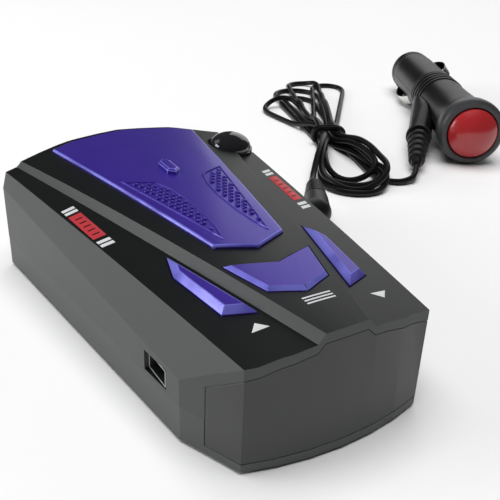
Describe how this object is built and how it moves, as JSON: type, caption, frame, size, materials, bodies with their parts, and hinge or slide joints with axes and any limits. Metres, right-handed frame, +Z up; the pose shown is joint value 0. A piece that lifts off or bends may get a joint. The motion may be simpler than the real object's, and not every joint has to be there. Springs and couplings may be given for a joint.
{
  "type": "radar detector",
  "caption": "Dashboard radar detector with an arched road end, a smoked display face, top buttons and a corded 12 V plug with a lit switch.",
  "frame": {"origin": "middle of the detector's footprint, on the surface that it stands on; the cord and plug are left out of this", "axes": "+Y down the road, to the arched end with the horn; -Y at the driver, to the display; +X to the power jack; +Z up"},
  "size_m": [0.2355, 0.2287, 0.0313],
  "materials": {
    "case_top": "satin",
    "case_bottom": "satin",
    "violet_gloss": "metallic gloss",
    "window_smoke": "smoked gloss",
    "laser_dark": "dark infrared gloss",
    "dome_black": "polished",
    "board_green": "solder mask",
    "chip_black": "moulded",
    "zinc_cast": "as cast",
    "tin_plate": "tinned",
    "brass": "turned",
    "screw_steel": "zinc plated",
    "nickel": "nickel plated",
    "foot_rubber": "matt",
    "cord_pvc": "soft PVC",
    "boot_pvc": "soft PVC",
    "plug_black": "satin",
    "bezel_grey": "satin",
    "switch_red": "translucent",
    "fuse_glass": "clear",
    "led_white": "diffused",
    "key_ivory": "moulded"
  },
  "bodies": {
    "detector": {"lower_case": "case_bottom", "upper_case": "case_top", "accent_panel": "violet_gloss", "display_window": "window_smoke", "laser_window": "laser_dark", "dome_base": "dome_black", "dome_lens": "dome_black", "dome_sensor": "chip_black", "tact_switches": "chip_black", "key_board": "board_green", "main_board": "board_green", "display_board": "board_green", "led_display": "led_white", "display_baffle": "chip_black", "horn_antenna": "zinc_cast", "mixer_can": "tin_plate", "laser_sensor": "chip_black", "buzzer": "chip_black", "board_chips": "chip_black", "capacitors": "chip_black", "pin_header": "chip_black", "board_standoffs": "brass", "board_screws": "screw_steel", "key_board_screws": "screw_steel", "case_screws": "screw_steel", "rubber_feet": "foot_rubber", "power_jack": "chip_black", "usb_socket": "tin_plate", "usb_tongue": "chip_black", "dc_plug_sleeve": "nickel", "dc_plug_boot": "boot_pvc", "cord_lead": "cord_pvc", "cord_hank": "cord_pvc", "cord_tie": "cord_pvc", "cord_tail": "cord_pvc", "cord_boot": "boot_pvc", "plug_neck": "plug_black", "plug_shell_top": "plug_black", "plug_shell_bottom": "plug_black", "plug_tip_ring": "plug_black", "pin_spring": "screw_steel", "switch_bezel": "bezel_grey", "switch_housing": "chip_black", "switch_led": "led_white"},
    "up_key": {"up_button": "violet_gloss", "up_plunger": "key_ivory"},
    "menu_key": {"menu_button": "violet_gloss", "menu_plunger": "key_ivory"},
    "down_key": {"down_button": "violet_gloss", "down_plunger": "key_ivory"},
    "centre_pin": {"plug_centre_pin": "nickel", "plug_fuse": "fuse_glass"},
    "left_contact": {"contact_left": "nickel"},
    "right_contact": {"contact_right": "nickel"},
    "switch_key": {"switch_button": "switch_red"}
  },
  "joints": [
    {"name": "up_button_press", "type": "slide", "parent": "detector", "child": "up_key", "axis": [0, 0, -1], "range_m": [0, 0.0006], "stiffness_N_per_m": 1500, "springref_m": -0.0004},
    {"name": "menu_button_press", "type": "slide", "parent": "detector", "child": "menu_key", "axis": [0, 0, -1], "range_m": [0, 0.0006], "stiffness_N_per_m": 1500, "springref_m": -0.0004},
    {"name": "down_button_press", "type": "slide", "parent": "detector", "child": "down_key", "axis": [0, 0, -1], "range_m": [0, 0.0006], "stiffness_N_per_m": 1500, "springref_m": -0.0004},
    {"name": "centre_pin_slide", "type": "slide", "parent": "detector", "child": "centre_pin", "axis": [0.4998, 0.8657, -0.0252], "range_m": [-0.003, 0], "stiffness_N_per_m": 800, "springref_m": 0.0015, "deforming": ["pin_spring"]},
    {"name": "left_contact_flex", "type": "hinge", "parent": "detector", "child": "left_contact", "pos_m": [0.16808, 0.11389, 0.00572], "axis": [0.5232, -0.3251, -0.7878], "range_deg": [0, 7], "stiffness_Nm_per_rad": 0.6, "springref_deg": -3.44},
    {"name": "right_contact_flex", "type": "hinge", "parent": "detector", "child": "right_contact", "pos_m": [0.1794, 0.10765, 0.01582], "axis": [-0.5232, 0.3251, 0.7878], "range_deg": [0, 7], "stiffness_Nm_per_rad": 0.6, "springref_deg": -3.44},
    {"name": "switch_press", "type": "slide", "parent": "detector", "child": "switch_key", "axis": [0.4998, 0.8657, -0.0252], "range_m": [0, 0.0015], "stiffness_N_per_m": 1200, "springref_m": -0.0005}
  ]
}
